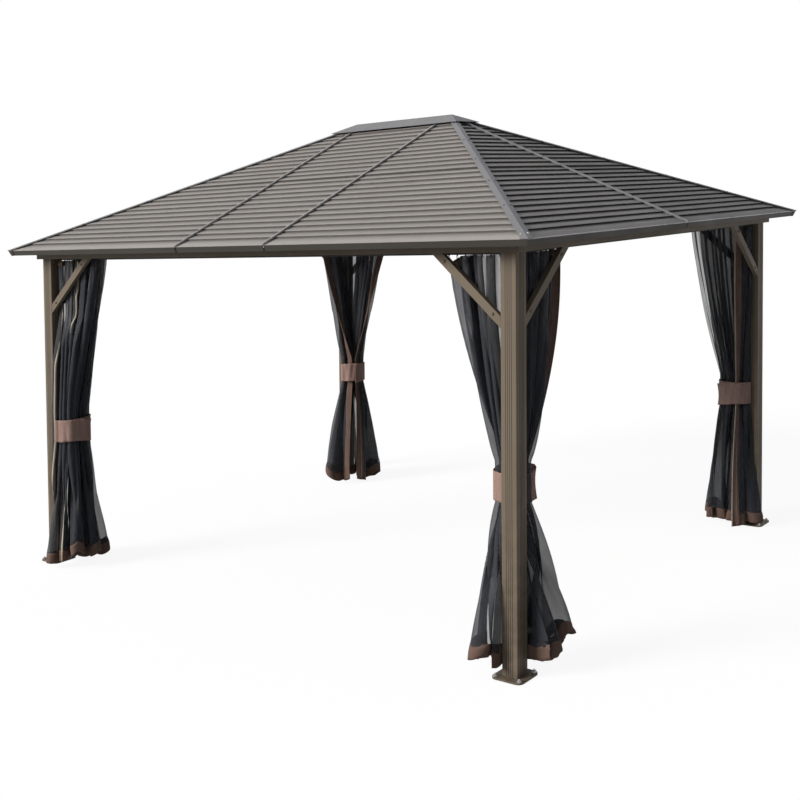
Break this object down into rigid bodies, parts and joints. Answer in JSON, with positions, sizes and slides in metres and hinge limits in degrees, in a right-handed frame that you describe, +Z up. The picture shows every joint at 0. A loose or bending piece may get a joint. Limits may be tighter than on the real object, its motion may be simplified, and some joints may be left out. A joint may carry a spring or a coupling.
{
  "type": "metal gazebo",
  "caption": "Open hard-roof garden gazebo with a hipped ribbed steel roof, fluted square posts, knee braces and dark insect nets tied back at the corners.",
  "frame": {"origin": "centre of the footprint at ground level", "axes": "+X along the long eave, -Y out of the long front side, +Z up"},
  "size_m": [3.659, 3.013, 2.551],
  "materials": {
    "frame_coat": "satin powder coat, taupe brown",
    "roof_steel": "satin coated steel sheet, warm grey",
    "roof_trim": "satin coated steel sheet, warm grey",
    "rail": "satin dark coated aluminium",
    "net": "sheer black polyester net",
    "binding": "matt brown woven polyester"
  },
  "bodies": {
    "root": {"post_front_left": "frame_coat", "post_front_right": "frame_coat", "post_back_left": "frame_coat", "post_back_right": "frame_coat", "base_plate_front_left": "frame_coat", "base_plate_front_right": "frame_coat", "base_plate_back_left": "frame_coat", "base_plate_back_right": "frame_coat", "beam_front": "frame_coat", "beam_right": "frame_coat", "beam_back": "frame_coat", "beam_left": "frame_coat", "knee_braces_front_left": "frame_coat", "knee_braces_front_right": "frame_coat", "knee_braces_back_left": "frame_coat", "knee_braces_back_right": "frame_coat", "hip_rafter_front_left": "frame_coat", "hip_rafter_front_right": "frame_coat", "hip_rafter_back_left": "frame_coat", "hip_rafter_back_right": "frame_coat", "rafters_front": "frame_coat", "rafters_right": "frame_coat", "rafters_back": "frame_coat", "rafters_left": "frame_coat", "ridge_beam": "frame_coat", "roof_front_left": "roof_steel", "roof_front_centre": "roof_steel", "roof_front_right": "roof_steel", "roof_right_left": "roof_steel", "roof_right_right": "roof_steel", "roof_back_left": "roof_steel", "roof_back_centre": "roof_steel", "roof_back_right": "roof_steel", "roof_left_left": "roof_steel", "roof_left_right": "roof_steel", "hip_cap_front_left": "roof_trim", "hip_cap_front_right": "roof_trim", "hip_cap_back_left": "roof_trim", "hip_cap_back_right": "roof_trim", "seam_strips_front": "roof_trim", "seam_strips_right": "roof_trim", "seam_strips_back": "roof_trim", "seam_strips_left": "roof_trim", "ridge_cap": "roof_trim", "curtain_rail_front": "rail", "curtain_rail_right": "rail", "curtain_rail_back": "rail", "curtain_rail_left": "rail", "net_front_left": "net", "net_front_right": "net", "net_back_left": "net", "net_back_right": "net", "tie_back_front_left": "binding", "tie_back_front_right": "binding", "tie_back_back_left": "binding", "tie_back_back_right": "binding"}
  },
  "joints": []
}
